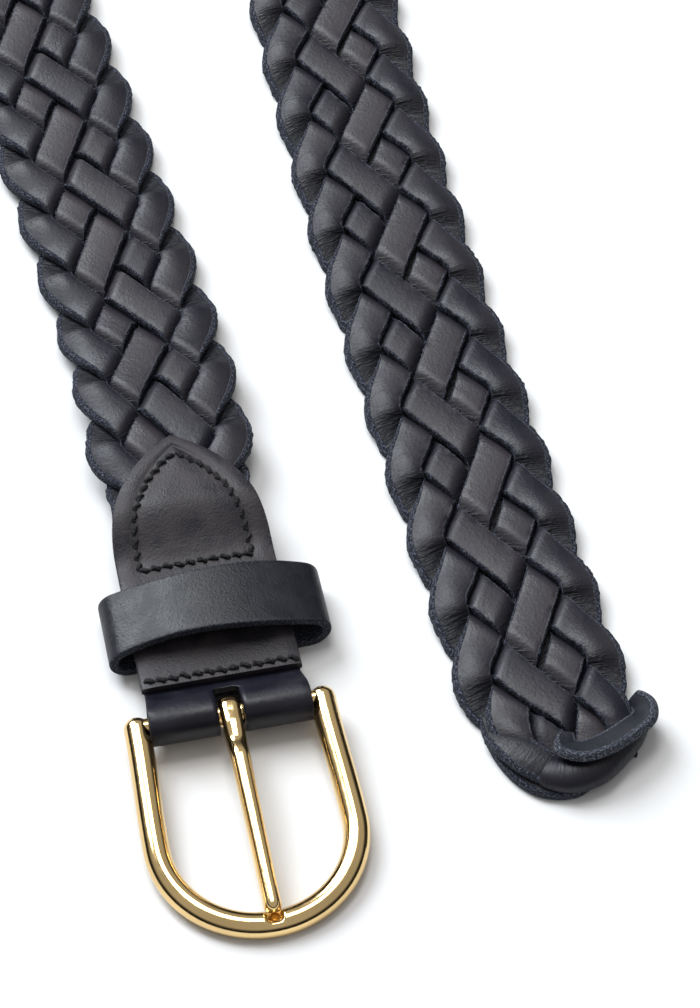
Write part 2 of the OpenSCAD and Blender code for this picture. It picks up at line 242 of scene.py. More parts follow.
def skin(name, rings, shape, place, uv_along, uv_round, fields=None, material=None):
    """Bends a grid of rings by shape points into a closed tube and returns its object."""
    bm = bmesh.new()
    bmesh.ops.create_grid(bm, x_segments=rings - 1, y_segments=shape - 1, size=1)
    mesh = bpy.data.meshes.new(name)
    bm.to_mesh(mesh)
    bm.free()
    flat = np.empty(len(mesh.vertices) * 3)
    mesh.vertices.foreach_get("co", flat)
    flat = flat.reshape(-1, 3)
    i = np.rint((flat[:, 0] + 1) / 2 * (rings - 1)).astype(int)
    j = np.rint((flat[:, 1] + 1) / 2 * (shape - 1)).astype(int)
    corner_of = np.empty(len(mesh.loops), int)
    mesh.loops.foreach_get("vertex_index", corner_of)
    uv_layer = mesh.uv_layers.new(name="UVMap")
    uv = np.column_stack([uv_along[i], uv_round[j]])[corner_of]
    uv_layer.data.foreach_set("uv", uv.ravel())
    for field, values in (fields or {}).items():
        layer = mesh.attributes.new(field, "FLOAT", "POINT")
        layer.data.foreach_set("value", values[i, j])
    mesh.vertices.foreach_set("co", place[i, j].ravel())
    bm = bmesh.new()
    bm.from_mesh(mesh)
    bmesh.ops.remove_doubles(bm, verts=bm.verts, dist=1e-6)
    ends = [e for e in bm.edges if e.is_boundary]
    if ends:
        bmesh.ops.holes_fill(bm, edges=ends, sides=0)
    bmesh.ops.recalc_face_normals(bm, faces=bm.faces)
    for face in bm.faces:
        face.smooth = len(face.verts) == 4
    bm.to_mesh(mesh)
    bm.free()
    made = bpy.data.objects.new(name, mesh)
    scene.collection.objects.link(made)
    if material:
        mesh.materials.append(material)
    return made


# %% [markdown]
# ## Finishes
# Everything but the brass and the thread is leather. A noise grain alone looks like plastic, so the
# grain, the fuzzy raw edge and the pinched creases are each a node group, and each leather sets them
# for itself: the strands are satin with cuts all along, the tab is matte, the keeper has the fine
# embossed grain, and the ply round the bar is the smoothest.

# %% Node helpers
def node(tree, kind, inputs=None, **settings):
    """Adds a node; inputs maps a socket's name or number to a value or to a socket to link."""
    made = tree.nodes.new(kind)
    for name, value in settings.items():
        setattr(made, name, value)
    for name, value in (inputs or {}).items():
        if isinstance(value, bpy.types.NodeSocket):
            tree.links.new(value, made.inputs[name])
        else:
            made.inputs[name].default_value = value
    return made


def maths(tree, operation, *values):
    return node(tree, "ShaderNodeMath", dict(enumerate(values)), operation=operation).outputs[0]


def blend_colour(tree, factor, a, b):
    made = node(tree, "ShaderNodeMix", {0: factor, 6: a, 7: b}, data_type="RGBA")
    return made.outputs[2]


def remap(tree, value, low, high, to_low=0.0, to_high=1.0):
    """Smoothly takes low..high to to_low..to_high."""
    ends = {0: value, 1: low, 2: high, 3: to_low, 4: to_high}
    return node(tree, "ShaderNodeMapRange", ends, interpolation_type="SMOOTHSTEP").outputs[0]


def group(name, inputs, outputs):
    """A node group with float and vector inputs; returns its tree, its inputs and its outputs."""
    tree = bpy.data.node_groups.new(name, "ShaderNodeTree")
    for socket, value in inputs.items():
        kind = "NodeSocketVector" if value is None else "NodeSocketFloat"
        made = tree.interface.new_socket(socket, in_out="INPUT", socket_type=kind)
        if value is not None:
            made.default_value = value
    for socket in outputs:
        tree.interface.new_socket(socket, in_out="OUTPUT", socket_type="NodeSocketFloat")
    return tree, tree.nodes.new("NodeGroupInput").outputs, tree.nodes.new("NodeGroupOutput").inputs


# %% Grain: fine pebbles and broad clouds of wear
grain_tree, grain_in, grain_out = group(
    "leather_grain", {"Vector": None, "Scale": 1500.0}, ["Height", "Cloud"]
)
pebbles = node(
    grain_tree, "ShaderNodeTexVoronoi", {"Vector": grain_in["Vector"], "Scale": grain_in["Scale"]},
    feature="SMOOTH_F1",
)
fine = node(
    grain_tree, "ShaderNodeTexNoise",
    {"Vector": grain_in["Vector"], "Scale": maths(grain_tree, "MULTIPLY", grain_in["Scale"], 0.45),
     "Detail": 5.0, "Roughness": 0.62},
)
clouds = node(
    grain_tree, "ShaderNodeTexNoise",
    {"Vector": grain_in["Vector"], "Scale": maths(grain_tree, "MULTIPLY", grain_in["Scale"], 0.07),
     "Detail": 6.0, "Roughness": 0.55},
)
mixed = maths(grain_tree, "MULTIPLY_ADD", pebbles.outputs["Distance"], 0.6, fine.outputs["Fac"])
grain_tree.links.new(mixed, grain_out["Height"])
grain_tree.links.new(remap(grain_tree, clouds.outputs["Fac"], 0.3, 0.7), grain_out["Cloud"])

# %% Raw edge: where the cut side starts, and its pale fibres
edge_tree, edge_in, edge_out = group(
    "raw_edge", {"Vector": None, "Measure": 0.0, "Start": 1.0}, ["Mask", "Fibres", "Height"]
)
ragged = node(edge_tree, "ShaderNodeTexNoise", {"Vector": edge_in["Vector"], "Scale": 900.0, "Detail": 3.0})
wobble = maths(edge_tree, "MULTIPLY_ADD", ragged.outputs["Fac"], 0.16, -0.08)
from_middle = maths(edge_tree, "ADD", maths(edge_tree, "ABSOLUTE", edge_in["Measure"]), wobble)
past = maths(edge_tree, "SUBTRACT", from_middle, edge_in["Start"])
mask = remap(edge_tree, past, 0.0, 0.07)
specks = node(
    edge_tree, "ShaderNodeTexNoise",
    {"Vector": edge_in["Vector"], "Scale": 2300.0, "Detail": 6.0, "Roughness": 0.8},
)
edge_tree.links.new(mask, edge_out["Mask"])
edge_tree.links.new(remap(edge_tree, specks.outputs["Fac"], 0.48, 0.68), edge_out["Fibres"])
edge_tree.links.new(specks.outputs["Fac"], edge_out["Height"])

# %% Creases: pinched lines across a strand where it dives
crease_tree, crease_in, crease_out = group("cross_creases", {"Vector": None, "Amount": 0.0}, ["Height"])
squeezed = node(crease_tree, "ShaderNodeMapping", {"Vector": crease_in["Vector"], "Scale": (1.0, 0.16, 1.0)})
lines = node(
    crease_tree, "ShaderNodeTexNoise",
    {"Vector": squeezed.outputs[0], "Scale": 1150.0, "Detail": 3.0, "Roughness": 0.55, "Distortion": 0.4},
)
ridges = maths(crease_tree, "ABSOLUTE", maths(crease_tree, "SUBTRACT", lines.outputs["Fac"], 0.5))
crease_tree.links.new(maths(crease_tree, "MULTIPLY", ridges, crease_in["Amount"]), crease_out["Height"])
print("groups", [tree.name for tree in bpy.data.node_groups])


# %% One leather, with its own colours and strengths
skin_edge, fray_reach = 1.0, 0.30
leather_shine, raw_rough = 0.36, 0.95


def leather(name, half_w, dark, light, rough, grain_scale, grain_depth, crease_and_shade=0.0, tone_and_light=0.0,
            raw_dark=(0.008, 0.009, 0.015), raw_light=(0.20, 0.22, 0.30), raw_depth=0.5):
    """A leather; dark and light are its skin's colours, which strands mix by a tone field that also holds
    painted light; creases add painted shade.
    """
    made = bpy.data.materials.new(name)
    made.use_nodes = True
    tree = made.node_tree
    shader = tree.nodes["Principled BSDF"]
    shader.inputs["Specular IOR Level"].default_value = leather_shine
    uv = node(tree, "ShaderNodeUVMap", uv_map="UVMap").outputs[0]
    metres = node(tree, "ShaderNodeMapping", {"Vector": uv, "Scale": (1.0, half_w, 1.0)}).outputs[0]
    measure = node(tree, "ShaderNodeSeparateXYZ", {0: uv}).outputs[1]
    grain = node(tree, "ShaderNodeGroup", node_tree=grain_tree)
    tree.links.new(metres, grain.inputs["Vector"])
    grain.inputs["Scale"].default_value = grain_scale
    edge = node(tree, "ShaderNodeGroup", node_tree=edge_tree)
    tree.links.new(metres, edge.inputs["Vector"])
    tree.links.new(measure, edge.inputs["Measure"])
    edge.inputs["Start"].default_value = skin_edge
    if tone_and_light:
        frayed = node(tree, "ShaderNodeAttribute", attribute_name="fray").outputs["Fac"]
        tree.links.new(maths(tree, "MULTIPLY_ADD", frayed, -fray_reach, skin_edge), edge.inputs["Start"])
    shade = grain.outputs["Cloud"]
    skin_height = maths(tree, "MULTIPLY", grain.outputs["Height"], grain_depth)
    # The strands' tone field mixes a random tone for each pass with painted light: lighter along one
    # direction of travel and toward the braid's middle, darker at the lobes.
    if tone_and_light:
        of_strand = node(tree, "ShaderNodeAttribute", attribute_name="tone_and_light").outputs["Fac"]
        clouded = maths(tree, "MULTIPLY", shade, 1 - tone_and_light)
        shade = maths(tree, "MULTIPLY_ADD", of_strand, tone_and_light, clouded)
    colour = blend_colour(tree, shade, (*dark, 1), (*light, 1))
    if crease_and_shade:
        amount = node(tree, "ShaderNodeAttribute", attribute_name="crease_and_shade").outputs["Fac"]
        creases = node(tree, "ShaderNodeGroup", node_tree=crease_tree)
        tree.links.new(metres, creases.inputs["Vector"])
        tree.links.new(amount, creases.inputs["Amount"])
        skin_height = maths(tree, "MULTIPLY_ADD", creases.outputs["Height"], crease_and_shade, skin_height)
        # Painted shade: the skin is tinted darker where the crease field is high, in the creases and where a
        # strand runs under another.
        painted_shade = remap(tree, amount, 0.1, 0.9, 0.0, 0.85)
        colour = blend_colour(tree, painted_shade, colour, (dark[0] * 0.45, dark[1] * 0.45, dark[2] * 0.5, 1))
    raw = blend_colour(tree, edge.outputs["Fibres"], (*raw_dark, 1), (*raw_light, 1))
    tree.links.new(blend_colour(tree, edge.outputs["Mask"], colour, raw), shader.inputs["Base Color"])
    worn = remap(tree, grain.outputs["Cloud"], 0.0, 1.0, rough[0], rough[1])
    rough_mix = node(tree, "ShaderNodeMix", {0: edge.outputs["Mask"], 2: worn, 3: raw_rough})
    tree.links.new(rough_mix.outputs[0], shader.inputs["Roughness"])
    raw_height = maths(tree, "MULTIPLY", edge.outputs["Height"], raw_depth)
    height = node(tree, "ShaderNodeMix", {0: edge.outputs["Mask"], 2: skin_height, 3: raw_height})
    relief = node(tree, "ShaderNodeBump", {"Height": height.outputs[0], "Distance": mm, "Strength": 1.0})
    tree.links.new(relief.outputs[0], shader.inputs["Normal"])
    return made


strand_leather = leather(
    "strand_leather", 3.7 * mm, (0.002, 0.003, 0.010), (0.034, 0.029, 0.034), (0.42, 0.54), 1700, 0.09,
    crease_and_shade=0.9, tone_and_light=0.8, raw_light=(0.26, 0.29, 0.40),
)
pale_cut_leather = leather(
    "pale_cut_leather", 3 * mm, (0.006, 0.008, 0.014), (0.020, 0.019, 0.026), (0.44, 0.58), 1700, 0.09,
    crease_and_shade=0.4, tone_and_light=0.5, raw_dark=(0.03, 0.035, 0.05), raw_light=(0.42, 0.45, 0.54), raw_depth=0.8,
)
tab_leather = leather(
    "tab_leather", 17 * mm, (0.010, 0.009, 0.014), (0.038, 0.031, 0.035), (0.44, 0.58), 2300, 0.10,
)
ply_leather = leather(
    "ply_leather", 16.3 * mm, (0.003, 0.003, 0.008), (0.008, 0.008, 0.015), (0.36, 0.46), 1700, 0.05,
)
keeper_leather = leather(
    "keeper_leather", 7.5 * mm, (0.003, 0.004, 0.008), (0.008, 0.009, 0.014), (0.38, 0.48), 2600, 0.09,
)
print("leathers", [m.name for m in bpy.data.materials if "leather" in m.name])


# %% Brass and thread
def brushed(name, colour, metallic, rough, scale, depth):
    """A finish with a fine irregular surface in Object coordinates."""
    made = bpy.data.materials.new(name)
    made.use_nodes = True
    tree = made.node_tree
    shader = tree.nodes["Principled BSDF"]
    place = node(tree, "ShaderNodeTexCoord").outputs["Object"]
    fine = node(tree, "ShaderNodeTexNoise", {"Vector": place, "Scale": scale, "Detail": 5.0})
    broad = node(tree, "ShaderNodeTexNoise", {"Vector": place, "Scale": scale * 0.08, "Detail": 3.0})
    shade = remap(tree, broad.outputs["Fac"], 0.3, 0.7)
    low = tuple(c * 0.82 for c in colour)
    tree.links.new(blend_colour(tree, shade, (*low, 1), (*colour, 1)), shader.inputs["Base Color"])
    shader.inputs["Metallic"].default_value = metallic
    tree.links.new(remap(tree, fine.outputs["Fac"], 0.3, 0.7, *rough), shader.inputs["Roughness"])
    relief = node(tree, "ShaderNodeBump", {"Height": fine.outputs["Fac"], "Distance": mm, "Strength": depth})
    tree.links.new(relief.outputs[0], shader.inputs["Normal"])
    return made


brass = brushed("brass", (0.92, 0.66, 0.31), 1.0, (0.08, 0.15), 600, 0.010)
thread = brushed("thread", (0.004, 0.004, 0.006), 0.0, (0.6, 0.85), 2600, 0.6)
print("finishes", len(bpy.data.materials))

# %% [markdown]
# ## The six strands
# The six strands are ribbons of thick leather with raw cut sides. Each one swings from edge to edge
# of the braid, and at every crossing it is either over or under. Modelling each strand whole, with a
# level for every crossing, gives the real weave: a strand that dives under its neighbour really does.
# At the braid's edge a strand turns back, so it puffs up, and its outer side is pulled down.

# %% How a strand swings and rises
braid_start, row = 56 * mm, 9.65 * mm
edge_reach, turn_sharpness = 14.1 * mm, 0.94
strand_half_w, strand_half_h, strand_corner = 4.15 * mm, 1.15 * mm, 0.42 * mm
rows_a_pass, strand_count = 6, 6
thick_mid, thin_mid, lift_rows = 6.3 * mm, 2.4 * mm, (84 * mm, 125 * mm)
level_height, top_gain = 1.22 * mm, 1.55
flat = 0.25
skew_per_mm = 0.496 / 11.35
rings_per_row = 14
braid_slant = math.radians(28)


def swing(u):
    """How far a strand is to the left of the strap's middle, u rows along it."""
    bend = np.arcsin(turn_sharpness * np.cos(np.pi * u / rows_a_pass)) / math.asin(turn_sharpness)
    return -edge_reach * bend


def level(n, u):
    """1 where strand n is on top, -1 where it is underneath."""
    middle = 1.0 if n % 2 == 0 else -1.0
    at = [0, 0.62, 1 + flat, 2 - flat, 2 + flat, 3 - flat, 3 + flat, 4 - flat, 4 + flat, 5 - flat, 5.4, 6]
    high = [0.85, -1, -1, 1, 1, middle, middle, -1, -1, 1, 1, 0.85]
    w = np.mod(u, rows_a_pass)
    k = np.clip(np.searchsorted(at, w, side="right") - 1, 0, len(at) - 2)
    at, high = np.array(at), np.array(high)
    return high[k] + (high[k + 1] - high[k]) * smooth((w - at[k]) / (at[k + 1] - at[k]))


def bump(x, low, high):
    """A smooth hump that is 0 at low and at high and 1 halfway."""
    part = (x - low) / (high - low)
    return smooth(2 * part) * smooth(2 * (1 - part))


def middle_z(s):
    """Height of the strap's middle: raised where it lies in the buckle end's plies."""
    return thick_mid + (thin_mid - thick_mid) * smooth((s - lift_rows[0]) / (lift_rows[1] - lift_rows[0]))


def rows_at(n, s):
    """How many rows along its own swings strand n is at s; each strand is two rows behind the last."""
    return (s - braid_start) / row + 2 * (strand_count - n)


print("each strand crosses the belt", round((strap_end - braid_start) / row / rows_a_pass, 1), "times")

# %% A strand's surface
v_shape, z_shape, round_shape = section(strand_half_w, strand_half_h, strand_corner)
under_widening, tab_squeeze, tip_squeeze = 0.24, 0.16, 0.30
tip_shift, tip_drop = 2.6 * mm, 1.6 * mm
lobe_out, waist_in = 0.75 * mm, 0.6 * mm
crown_h, puff_h, bank_depth, fold_h = 0.38 * mm, 0.9 * mm, 1.7 * mm, 0.16 * mm
fuzz_size, off_table = 0.10 * mm, 0.1 * mm


def strand_points(n, u):
    """Places and finish values for the rings u of strand n."""
    u_at, v = np.meshgrid(u, v_shape, indexing="ij")
    across = v / strand_half_w
    step = 0.01
    ahead, behind = swing(u_at + step), swing(u_at - step)
    slope = (ahead - behind) / (2 * step) / row
    size = np.hypot(1, slope)
    to_edge = np.abs(np.mod(u_at + 3, rows_a_pass) - 3)
    skew = np.sign(slope) * smooth(to_edge / 0.8) * skew_per_mm * v / mm
    side = np.sign(swing(u_at))
    outward = across * side
    w = np.mod(u_at + skew + 3, rows_a_pass) - 3
    up = level(n, u_at + skew)
    v = v * (1 + under_widening * smooth((0.2 - up) / 1.2))
    s = braid_start + row * (u_at - 2 * (strand_count - n)) - v * slope / size
    gathered = smooth((s - strap_end + 24 * mm) / (22 * mm))
    under_tab = 1 - smooth((s - 58 * mm) / (12 * mm))
    squeeze = 1 - tab_squeeze * under_tab - tip_squeeze * gathered
    t = (swing(u_at) + v / size) * squeeze + tip_shift * gathered
    scallop = lobe_out * bump(w, -1.0, 1.0) - waist_in * bump(np.abs(w), 0.5, 1.9)
    t += side * scallop * (1 - gathered)
    height = up * level_height
    height = np.where(height > 0, height * top_gain, height)
    skin_side = np.clip(z_shape / strand_half_h, 0, 1)
    crown = crown_h * (1 - across**2) * skin_side
    puff = puff_h * bump(w, -1.15, 0.72) * (1 - 0.6 * across**2)
    on_top = (level(n, u_at) + 1.2) / 2.2
    bank = -bank_depth * smooth((outward + 1) / 2) ** 1.5 * bump(w, -1.3, 1.1) * on_top
    waves = np.sin(u_at * 41 + 2.2 * np.sin(u_at * 7 + n))
    folds = fold_h * waves * bump(w, -0.1, 0.9) * skin_side * (1 - smooth((outward + 0.2) / 1.1))
    z = middle_z(s) + height + z_shape + crown + puff + bank + folds
    z -= tip_drop * smooth((s - strap_end + 13 * mm) / (8 * mm))
    # Creases where a strand turns at the edge and dives; the same field paints shade there and wherever the
    # strand runs under another.
    pinched = bump(w, -0.35, 1.15) * (1 - 0.6 * smooth(outward))
    diving = 0.8 * (1 - smooth((up + 0.1) / 1.1))
    crease_and_shade = np.maximum(pinched, diving)
    fray = smooth((outward - 0.2) / 0.6) * bump(w, -1.6, 1.6)
    fuzz = rng.normal(0, fuzz_size, s.shape) * smooth((np.abs(across) - 0.85) / 0.15)
    return s, t + fuzz, np.maximum(z + fuzz, off_table), crease_and_shade, fray


def make_strand(part, n, u_from, u_to):
    """One stretch of strand n; its tone varies at random by pass, and painted light makes it lighter in one
    direction of travel and toward the middle.
    """
    rings = round((u_to - u_from) * rings_per_row) + 1
    u = np.linspace(u_from, u_to, rings)
    s, t, z, crease_and_shade, fray = strand_points(n, u)
    place = lay(s.ravel(), t.ravel(), z.ravel()).reshape(s.shape + (3,))
    shades = np.random.default_rng(100 + n).uniform(0, 1, 64)
    of_pass = shades[np.clip(np.floor((u - 1) / 3).astype(int) + 2, 0, len(shades) - 1)]
    # Painted light: a strand is lighter where it runs one way across the braid, as a painted sheen, and
    # lighter toward the middle, with painted shade on the lobes at the edges.
    painted_sheen = smooth((swing(u - 0.3) - swing(u + 0.3)) / (8 * mm) + 0.5)
    painted_middle_light = 1 - smooth(np.abs(swing(u)) / (13 * mm))
    tone_and_light = np.clip(0.45 * of_pass + 0.35 * painted_sheen + 0.45 * painted_middle_light - 0.1, 0, 1.1)
    length = u * row / math.cos(braid_slant)
    tone_and_light_rows = np.repeat(tone_and_light[:, None], len(v_shape), axis=1)
    return skin(
        f"strand_{n}_{part}", rings, len(v_shape), place, length, round_shape,
        {"crease_and_shade": crease_and_shade, "fray": fray, "tone_and_light": tone_and_light_rows}, strand_leather,
    )


# %% Cut the strands where they are hidden; the loop part rides the strap's body
joined_at, cut_short = 250 * mm, 4.5 * mm


def hidden_row(n, s):
    """The nearest place to s where strand n is under another strand."""
    near = np.round(rows_at(n, s) / rows_a_pass) * rows_a_pass
    return float(near + 1)


for n in range(1, strand_count + 1):
    first = rows_at(n, braid_start)
    last = rows_at(n, strap_end - cut_short)
    cuts = [first, hidden_row(n, joined_at), hidden_row(n, strap_end - joined_at), last]
    for part, (u_from, u_to) in zip(("near_buckle", "loop", "near_tip"), zip(cuts, cuts[1:])):
        strand = make_strand(part, n, u_from, u_to)
        if part == "loop":
            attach(strand, "strap")
            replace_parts(strand, f"strand_{n}_loop")
        elif part == "near_buckle":
            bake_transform(strand)
            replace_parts(strand, f"strand_{n}_buckle_bend", f"strand_{n}_buckle_run")
        else:
            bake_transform(strand)
            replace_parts(strand, f"strand_{n}_tip_bend", f"strand_{n}_tip_run")
print("strands made", strand_count * 3)

# %% [markdown]
# ## The buckle end
# Two plies hold the braid's end: a satin ply folded round the bar, and a matte pointed tab stitched
# on top of it. Both are bands of leather, so one helper carries a flat section along a side view.
# The plies lie low under the keeper and climb over the braid, as stitched leather does.

# %% Where things are, measured from the bar
def from_bar(points):
    """Turns places measured from the bar (x across, y along the strap) into the belt's own."""
    x, y, z = np.moveaxis(np.asarray(points, float), -1, 0)
    return np.stack([
        bar.x + x * math.cos(lean) + y * math.sin(lean),
        bar.y - x * math.sin(lean) + y * math.cos(lean),
        z,
    ], axis=-1)


def band(name, centres, sideways, outward, shape, widths=None, material=None, warp=None):
    """A section (v, z, measure) carried along centres; v goes sideways and z goes outward."""
    v_at, z_at, measure = shape
    centres = np.asarray(centres, float)
    rings = len(centres)
    sideways = np.broadcast_to(np.asarray(sideways, float), centres.shape)
    outward = np.broadcast_to(np.asarray(outward, float), centres.shape)
    widths = np.ones(rings) if widths is None else np.asarray(widths)
    place = (
        centres[:, None, :]
        + (widths[:, None] * v_at)[:, :, None] * sideways[:, None, :]
        + z_at[None, :, None] * outward[:, None, :]
    )
    if warp:
        place = warp(place)
    walked = np.concatenate([[0], np.cumsum(np.linalg.norm(np.diff(centres, axis=0), axis=1))])
    return skin(name, rings, len(v_at), from_bar(place), walked, measure, material=material)


def side_view(y, z, upward=1):
    """Centres and outward normals of a path in the plane x = 0."""
    y, z = np.asarray(y, float), np.asarray(z, float)
    dy, dz = np.gradient(y), np.gradient(z)
    size = np.hypot(dy, dz)
    centres = np.column_stack([np.zeros_like(y), y, z])
    normals = np.column_stack([np.zeros_like(y), -dz / size, dy / size]) * upward
    return centres, normals


back_z, low_z, high_z, bar_z = 2.4 * mm, 3.9 * mm, 8.7 * mm, bar.z
ramp_start, ramp_end = 42 * mm, 56 * mm
ply_t, tab_t = 1.5 * mm, 1.7 * mm
fold_r, fold_down, fold_widening = 3.6 * mm, 10 * mm, 0.045
tab_half_w = 17.5 * mm
tab_start, tab_point, arch_start = 9.3 * mm, 73.6 * mm, 45 * mm
inset, ply_inset = 5 * mm, 0.7 * mm
arch_rise = tab_point - arch_start
arch_r = (arch_rise**2 + tab_half_w**2) / (2 * tab_half_w)


def front_z(y):
    """Underside of the front plies."""
    return low_z + (high_z - low_z) * smooth((y - ramp_start) / (ramp_end - ramp_start))


def arch_half_w(y, inset=0.0):
    """Half the width of the pointed outline at y."""
    rise = np.clip(y - arch_start, 0, None)
    bowed = np.sqrt(np.clip((arch_r - inset) ** 2 - rise**2, 0, None)) - (arch_r - tab_half_w)
    return np.clip(bowed, 0.02 * mm, None)


def toward_point(start, end, count):
    """Places from start to end, closer together near the end."""
    return start + (end - start) * np.sin(np.linspace(0, math.pi / 2, count))


# %% Pointed tab
tab_y = np.concatenate([
    tab_start + np.array([0, 0.15, 0.5]) * mm,
    np.linspace(tab_start + 1 * mm, arch_start, 60),
    toward_point(arch_start, tab_point, 90)[1:],
])
tab_centres, tab_normals = side_view(tab_y, front_z(tab_y) + ply_t + tab_t / 2)
tab_shape = section(tab_half_w, tab_t / 2, 0.4 * mm, across=33)


def dish(place):
    """Sinks the tab along its stitches, puffs it up inside them and curls it down at its rim."""
    x, y = place[..., 0], place[..., 1]
    half = np.maximum(arch_half_w(y), 1 * mm)
    from_rim = np.clip(half - np.abs(x), 0, None)
    rim = -0.35 * mm * (1 - smooth(from_rim / (2.6 * mm)))
    near_row = np.exp(-(((from_rim - inset) / (0.8 * mm)) ** 2))
    groove = -0.38 * mm * near_row * smooth((y - 38 * mm) / (3 * mm))
    pillow = 0.55 * mm * smooth((from_rim - inset) / (7 * mm)) * smooth((y - 40 * mm) / (5 * mm))
    return place + np.stack([np.zeros_like(x), np.zeros_like(x), rim + groove + pillow], axis=-1)


tab = band(
    "pointed_tab_leather", tab_centres, (1, 0, 0), tab_normals, tab_shape,
    widths=arch_half_w(tab_y) / tab_half_w, material=tab_leather, warp=dish,
)
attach(tab, "buckle_end")
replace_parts(tab, "pointed_tab")
print("tab", round((tab_point - tab_start) / mm, 1), "mm long")

# %% Ply folded round the bar, with its slot
ply_point = arch_start + math.sqrt((arch_r - ply_inset) ** 2 - (arch_r - tab_half_w) ** 2)
leg_y = toward_point(0, ply_point, 110)[::-1]
front_leg = front_z(leg_y) + ply_t / 2
front_leg += (bar_z + fold_r - low_z - ply_t / 2) * smooth(1 - leg_y / fold_down)
fold_turn = np.radians(np.linspace(90, 270, 26))[1:-1]
back_leg = np.full(len(leg_y), back_z + ply_t / 2)
fold_y = np.concatenate([leg_y, fold_r * np.cos(fold_turn), leg_y[::-1]])
fold_z = np.concatenate([front_leg, bar_z + fold_r * np.sin(fold_turn), back_leg])
ply_widths = arch_half_w(fold_y, ply_inset) / tab_half_w
ply_widths *= 1 + fold_widening * smooth(1 - fold_y / (12 * mm))
ply_centres, ply_normals = side_view(fold_y, fold_z, upward=-1)
ply = band(
    "folded_ply_leather", ply_centres, (1, 0, 0), ply_normals,
    section(tab_half_w, ply_t / 2, 0.35 * mm, across=17), widths=ply_widths, material=ply_leather,
)


def cut_away(piece, cutter):
    """Takes the cutter's volume out of the piece for good."""
    tool = piece.modifiers.new("cut", "BOOLEAN")
    tool.object, tool.operation, tool.solver = cutter, "DIFFERENCE", "EXACT"
    shaped = bpy.data.meshes.new_from_object(piece.evaluated_get(bpy.context.evaluated_depsgraph_get()))
    piece.modifiers.remove(tool)
    piece.data = shaped
    bpy.data.objects.remove(cutter)


def slot_cutter(half_w, y_from, y_to, z_from, z_to, corner):
    """A rounded upright block in the bar's frame."""
    bm = bmesh.new()
    bmesh.ops.create_cube(bm, size=1)
    for v in bm.verts:
        v.co = Vector((v.co.x * 2 * half_w, (v.co.y + 0.5) * (y_to - y_from) + y_from,
                       (v.co.z + 0.5) * (z_to - z_from) + z_from))
    upright = [e for e in bm.edges if abs(e.verts[0].co.z - e.verts[1].co.z) > (z_to - z_from) / 2]
    bmesh.ops.bevel(bm, geom=upright, offset=corner, affect="EDGES", segments=5, profile=0.5, material=-1)
    for v in bm.verts:
        v.co = Vector([float(c) for c in from_bar([v.co])[0]])
    mesh = bpy.data.meshes.new("slot_cutter")
    bm.to_mesh(mesh)
    bm.free()
    made = bpy.data.objects.new("slot_cutter", mesh)
    scene.collection.objects.link(made)
    return made


slot_half_w, slot_past_bar = 2.75 * mm, 6.1 * mm
cut_away(ply, slot_cutter(slot_half_w, -8 * mm, slot_past_bar, -2 * mm, 14 * mm, 1.3 * mm))
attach(ply, "buckle_end")
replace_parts(ply, "folded_ply")
print("ply faces", len(ply.data.polygons))

# %% [markdown]
# ## Keeper
# The keeper is one band of leather bent into a flat ring round the plies. It is stiff, so its top is
# an arch and its two ends are tight rounds. It is open inside, ready for the belt's tip.

# %% Keeper
keeper_len, keeper_start, keeper_t = 16 * mm, 18.2 * mm, 2.1 * mm
keeper_half_w, keeper_h, keeper_end_r = 24.5 * mm, 13.4 * mm, 4.8 * mm
keeper_aside = 1.4 * mm
end_x = keeper_half_w - keeper_end_r
top_r = (end_x**2 + (keeper_h - keeper_end_r) ** 2 - keeper_end_r**2) / (2 * (keeper_h - 2 * keeper_end_r))
touch = math.asin(end_x / (top_r - keeper_end_r))


def arc(x, z, r, start, end, count):
    """Rows of x, z and outward angle along a round about x, z."""
    a = np.linspace(start, end, count)
    return np.column_stack([x + r * np.cos(a), z + r * np.sin(a), a])


half_pi = math.pi / 2
bottom_x = np.linspace(-end_x, end_x, 24)[1:-1]
facing_down = np.full(len(bottom_x), 3 * half_pi)
outline = np.concatenate([
    arc(end_x, keeper_end_r, keeper_end_r, -half_pi, half_pi - touch, 24),
    arc(0, keeper_h - top_r, top_r, half_pi - touch, half_pi + touch, 60)[1:-1],
    arc(-end_x, keeper_end_r, keeper_end_r, half_pi + touch, 3 * half_pi, 24),
    np.column_stack([bottom_x, np.zeros(len(bottom_x)), facing_down]),
])
outline = np.concatenate([outline, outline[:1]])
away = np.column_stack([np.cos(outline[:, 2]), np.zeros(len(outline)), np.sin(outline[:, 2])])
keeper_centres = np.column_stack([
    outline[:, 0], np.full(len(outline), keeper_start + keeper_len / 2), outline[:, 1]
]) - away * keeper_t / 2


def slightly_bowed(place):
    """The band's cut sides bow a little, and the keeper sits a little to the right."""
    x, y, z = np.moveaxis(place, -1, 0)
    side = (y - keeper_start - keeper_len / 2) / (keeper_len / 2)
    y = y + side * 0.35 * mm * np.sin(x / (7 * mm))
    return np.stack([x + keeper_aside, y, z], axis=-1)


keeper_shape = section(keeper_len / 2, keeper_t / 2, 0.45 * mm, across=19)
keeper = band(
    "keeper_band", keeper_centres, (0, 1, 0), away, keeper_shape,
    material=keeper_leather, warp=slightly_bowed,
)
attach(keeper, "keeper")
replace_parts(keeper, "keeper")
print("keeper", round(keeper_half_w * 2 / mm), "mm wide")

# %% [markdown]
# ## Stitching
# The thread is heavy and waxed, and each stitch sinks into its hole at both ends. One twisted rope
# that dips at every hole looks sewn, where a row of separate bars looks printed. The same rope runs
# along the back, because a lock stitch shows on both sides.

# %% Rope that dips at each hole
stitch_len, thread_r, twist_len = 2.6 * mm, 0.58 * mm, 1.5 * mm
angles = np.linspace(0, 2 * math.pi, 13)
round_shape_v, round_shape_z = np.cos(angles), np.sin(angles)


